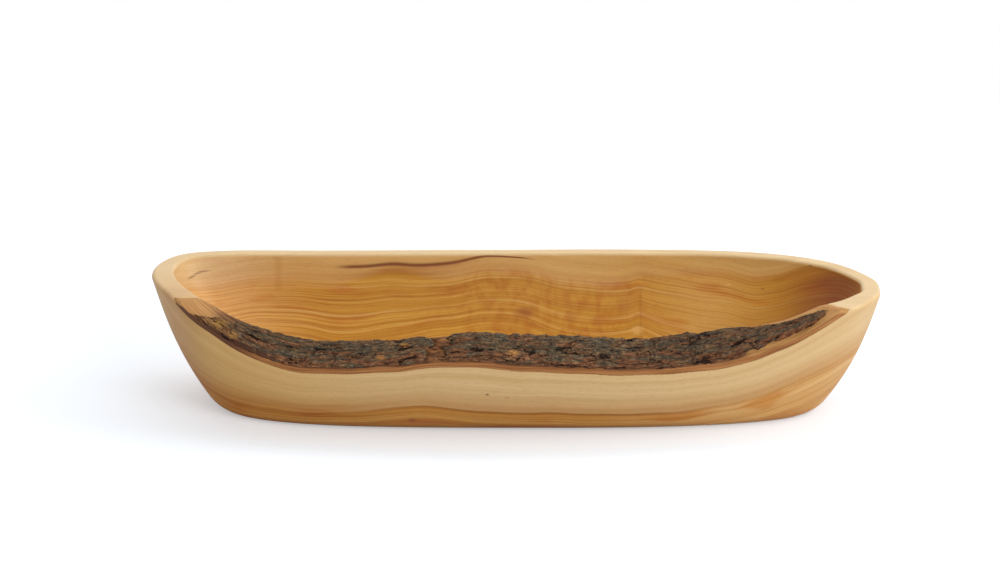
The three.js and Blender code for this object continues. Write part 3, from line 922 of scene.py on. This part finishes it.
def crust():
    bark = Finish("outer_bark_crust")
    x = bark.x
    across, over, relief = (bark.attribute(name) for name in ("across", "over", "relief"))
    low_edge = bark.attribute("low_edge")
    flakes = bark.noise(bark.place(x, across, over, (3.4, 0.8, 1.2)), 5, 0.68, 0.4)
    stops = (0.3, 0.45, 0.58, 0.72)
    slate = bark.shades(flakes, stops, (46, 37, 30), (74, 64, 52), (104, 92, 73), (158, 136, 100))
    brown = bark.shades(flakes, stops, (56, 40, 29), (96, 72, 51), (132, 101, 71), (178, 140, 98))
    rust = bark.shades(
        flakes, (0.3, 0.47, 0.6, 0.74), (62, 41, 29), (108, 71, 49), (150, 102, 69), (190, 134, 92))
    mottle = bark.noise(bark.place(x, across, over, (8, 1.9, 3)), 4, 0.6, 0.3)
    colour = bark.mix(bark.step(mottle, 0.44, 0.6), slate, brown)
    patches = bark.noise(bark.place(x, across, over, (17, 2.2, 5)), 3, 0.6, 0.3)
    lower = bark.add(bark.step(relief, 0.3, -0.5, 0, 0.1), bark.step(low_edge, 5, 1, 0, 0.12))
    lower = bark.add(lower, bark.step(x, -136, -154, 0, 0.14), bark.step(x, 104, 140, 0, 0.04))
    colour = bark.mix(bark.step(bark.add(patches, lower), 0.56, 0.68), colour, rust)
    specks = bark.noise(bark.place(x, across, over, (1.6, 0.5, 1)), 1)
    colour = bark.mix(bark.step(specks, 0.64, 0.74, 0, 0.5), colour, (186, 160, 118))
    colour = bark.darken(colour, (232, 226, 222), bark.step(x, 45, 90))
    golden_tip = bark.times(bark.step(x, -138, -156, 0, 0.75), bark.step(flakes, 0.36, 0.56))
    colour = bark.mix(golden_tip, colour, (176, 131, 78))
    # Painted shade on the crust's cut lower edge towards the left end
    cut_edge_painted_shade = bark.times(bark.step(low_edge, 0.9, 0.4), bark.step(x, -112, -128))
    colour = bark.mix(bark.times(cut_edge_painted_shade, 0.85), colour, (84, 52, 40))
    for at, size, shade in crust_marks:
        spot = bark.times(bark.spot(at, size), bark.step(flakes, 0.3, 0.5, 0.35, 1))
        colour = bark.mix(bark.times(spot, 0.9), colour, shade)
    # Painted shade in the crust's cracks and low places
    colour = bark.darken(colour, (96, 80, 70), bark.step(relief, -0.35, -1))
    bark.set(Base_Color=colour, Roughness=0.85, Specular_IOR_Level=0.2)
    bark.set(Normal=bark.bump(flakes, 0.35, 0.9))
    return bark.material


def long_fissure_tilt(x, side):
    """Tilt of one side of the fissure that runs along the log, which wanders a little and drops
    towards the right tip."""
    wave = 0.8 * np.sin(x / 11) + 0.5 * np.sin(x / 4.3 + 1)
    drop = 2 * band_spread * 0.16 * eased(x, 121, 132)
    half = math.degrees(fissure_gap / 2 / log_radius)
    return lean_at(x) + band_spread * (1 - 2 * long_fissure) + wave + drop - side * half


def crust_limits(x, over, part):
    """Tilts of a plate's lower and upper edge."""
    wall = read_table(outside_tilts, overs, sections, over, x)
    hollow = read_table(hollow_tilts, overs, sections, over, x)
    reach = np.array(crust_reach)
    low_share = np.interp(x, reach[:, 0], reach[:, 1]) + 0.045 * ragged(x, 3.0, 7)
    high_share = np.interp(x, reach[:, 0], reach[:, 2]) + 0.025 * ragged(x, 9.0, 6)
    lower = wall + (hollow - wall) * np.clip(low_share, 0.012, 1)
    upper = wall + (hollow - wall) * np.clip(high_share, 0, 0.99)
    if part == "high":
        lower = np.minimum(lower, long_fissure_tilt(x, 1))
    if part == "low":
        upper = long_fissure_tilt(x, -1)
    _, pith_up = pith(x)
    level = (height - 0.1 - pith_up) / (log_radius + crust_from + 0.8)
    upper = np.maximum(upper, np.degrees(np.arccos(np.clip(level, 0, 1))))
    return np.maximum(lower, upper + 0.4), upper


def worn(distance, reach, least):
    """Share of the thickness left at a distance from a worn edge, where the least is left."""
    return least + (1 - least) * np.sqrt(np.clip(distance / reach, 0, 1))


def crust_plate(name, first, last, part):
    """One plate: columns along the log, each a loop over its top, down its edge at the hollow,
    back under it and up its crumbled lower edge."""
    span = fissure_at(last, 0.5) - fissure_at(first, 0.5)
    steps_along = round(span / crust_grain)
    steps_across = round(plate_spread[part] / crust_grain)
    shares = np.linspace(0, 1, steps_across + 1), np.linspace(0, 1, steps_along + 1)
    q, u = np.meshgrid(*shares, indexing="ij")

    def edge(x, over, q):
        lower, upper = crust_limits(x, over, part)
        return lower + (upper - lower) * q

    # A few rounds settle the columns between two fissures whose place depends on the tilt
    x = fissure_at(first, 0.5) + span * u
    half_way_up = np.full(x.shape, crust_from + 1.5)
    wander = [seam_crumble if name in open_ends else seam_wander for name in (first, last)]
    for _ in range(4):
        tilt = edge(x, half_way_up, q)
        start = seam_place(first, tilt, x, wander[0]) + fissure_gap / 2
        end = seam_place(last, tilt, x, wander[1]) - fissure_gap / 2
        x = start + (end - start) * u
    tilt = edge(x, half_way_up, q)
    relief = crust_relief(x.ravel(), across_log(x, tilt).ravel()).reshape(x.shape)

    # The crust thins towards the left tip, its open ends and its edges, and stays below the rim
    wide = np.radians(tilt[0] - tilt[-1]) * log_radius
    thick = (crust_thickness + relief) * (0.3 + 0.7 * eased(x, -164, -136))
    for ended, distance in ((first, x - start), (last, end - x)):
        thick *= worn(distance, 4, 0.12) if ended in open_ends else worn(distance, 0.5, 0.8)
    feather = 0.14 + 0.8 * eased(x, -112, -132)
    thick *= worn(q * wide, 0.8, 0.55) if part == "high" else worn(q * wide, 3, feather)
    thick *= worn((1 - q) * wide, 0.8, 0.55) if part == "low" else worn((1 - q) * wide, 2.2, 0.25)
    _, pith_up = pith(x)
    reach = (height - 0.05 - pith_up) / np.cos(np.radians(tilt))
    room = reach - log_radius - ripple(x, tilt) - crust_from
    thick = np.clip(thick, least_thickness, np.maximum(room, least_thickness))

    loops = [log_point(x, edge(x, crust_from + thick, q), crust_from + thick)]
    for k in range(1, side_steps):
        rise = crust_from + thick[-1:] * (1 - k / side_steps)
        loops.append(log_point(x[-1:], edge(x[-1:], rise, 1.0), rise))
    picks = np.round(np.linspace(1, 0, under_points) * steps_across).astype(int)
    floor_over = crust_from + 0 * x[picks]
    loops.append(log_point(x[picks], edge(x[picks], floor_over, q[picks]), floor_over))
    for k in range(1, side_steps):
        rise = crust_from + thick[:1] * (k / side_steps)
        loops.append(log_point(x[:1], edge(x[:1], rise, 0.0), rise))
    bm = closed_grid(np.vstack(loops).swapaxes(0, 1), exact_weld)
    bmesh.ops.holes_fill(bm, edges=bm.edges, sides=0)
    bmesh.ops.triangulate(bm, faces=[face for face in bm.faces if len(face.verts) > 4])
    turn_outwards(bm)
    mesh = smooth_mesh(bm, name + "_fine")
    points = points_of(mesh)
    set_points(mesh, points)
    x = points[:, 0]
    tilt, over = log_place(points)
    across = across_log(x, tilt)
    wall = read_table(outside_tilts, overs, sections, over, x)
    low_edge = np.radians(wall - tilt) * log_radius
    relief = crust_relief(x, across)
    set_attributes(mesh, across=across, over=over, relief=relief, low_edge=low_edge)
    return mesh


crust_material = crust()
for name, first, last, part in crust_plates:
    mesh = crust_plate(name, first, last, part)
    add_piece(name + "_fine", mesh, crust_material, [name])

# Table, light and view: a plain pale floor that fades to white away from the bowl, soft light
# from above, from the right and from the front, and a camera above the rim.

floor_plain, floor_shade = (0.8, 0.8, 0.8, 1), (0.71, 0.76, 0.83, 1)
floor_glow = (0.395, 0.398, 0.398, 1)
fade_start, fade_end = 420, 800
surround_light = 0.42
camera_place = Vector((1.565, -1712.4, 586.23)) * mm
camera_aim = Vector((-6.97, 8.39, 57.35)) * mm
focal_length, sensor_width = 124.3, 36.0
# The floor's side is in metres. Lamps: name, place and size in metres, power in watts
floor_size = 8.0
lamp_aim = (0, 0, 0.03)
lamps = [
    ("overhead_softbox", (0.0, 0.9, 1.6), (2.4, 1.2), 13),
    ("right_softbox", (1.7, 0.2, 1.2), (1.4, 1.2), 15.5),
    ("front_right_softbox", (1.2, -1.8, 1.2), (1.2, 1.0), 21),
]


def pale_floor():
    """White where the floor is plainly lit and everywhere far from the bowl, with the bowl's
    shadow on it."""
    floor = Finish("pale_floor")
    seen = floor.node("LightPath", {}).outputs["Is Camera Ray"]
    plain = floor.node("BsdfDiffuse", {"Color": floor_plain}).outputs[0]
    shaded = floor.node("BsdfDiffuse", {"Color": floor_shade}).outputs[0]
    glow = floor.node("Emission", {"Color": floor_glow}).outputs[0]
    white = floor.node("Emission", {}).outputs[0]
    both = floor.node("AddShader", {0: shaded, 1: glow}).outputs[0]
    place = floor.place(floor.x, floor.y, floor.z, (1, 1, 1))
    away = floor.node("VectorMath", {0: place}, operation="LENGTH").outputs["Value"]
    fade = floor.step(away, fade_start, fade_end)
    near = floor.node("MixShader", {0: fade, 1: both, 2: white}).outputs[0]
    pick = floor.node("MixShader", {0: seen, 1: plain, 2: near}).outputs[0]
    floor.put(floor.tree.nodes["Material Output"].inputs["Surface"], pick)
    floor.tree.nodes.remove(floor.shader)
    return floor.material


def add_floor():
    bm = bmesh.new()
    bmesh.ops.create_grid(bm, x_segments=1, y_segments=1, size=floor_size / 2)
    mesh = smooth_mesh(bm, "floor")
    mesh.materials.append(pale_floor())
    floor = bpy.data.objects.new("floor", mesh)
    bpy.context.scene.collection.objects.link(floor)


def aimed(name, data, place, aim):
    """A lamp or camera at a place, looking at its aim."""
    thing = bpy.data.objects.new(name, data)
    thing.location = place
    thing.rotation_euler = (Vector(aim) - Vector(place)).to_track_quat("-Z", "Y").to_euler()
    bpy.context.scene.collection.objects.link(thing)
    return thing


def add_lamp(name, place, size, power):
    lamp = bpy.data.lights.new(name, "AREA")
    lamp.shape, lamp.size, lamp.size_y, lamp.energy = "RECTANGLE", *size, power
    aimed(name, lamp, place, lamp_aim)


def add_camera():
    camera = bpy.data.cameras.new("camera")
    camera.lens, camera.sensor_width = focal_length, sensor_width
    bpy.context.scene.camera = aimed("camera", camera, camera_place, camera_aim)


def white_surround():
    """White where the camera or a reflection sees it, and a softer light on everything else."""
    world = bpy.data.worlds.new("white_surround")
    bpy.context.scene.world = world
    world.use_nodes = True
    nodes = Nodes(world.node_tree)
    path = nodes.node("LightPath", {}).outputs
    seen = nodes.math("MAXIMUM", path["Is Camera Ray"], path["Is Glossy Ray"])
    strength = nodes.node("MapRange", {"Value": seen, "To Min": surround_light, "To Max": 1.0})
    background = nodes.tree.nodes["Background"].inputs
    nodes.put(background["Color"], (1, 1, 1, 1))
    nodes.put(background["Strength"], strength.outputs["Result"])


add_floor()
white_surround()
for lamp in lamps:
    add_lamp(*lamp)
add_camera()
bpy.context.scene.view_settings.view_transform = "Standard"
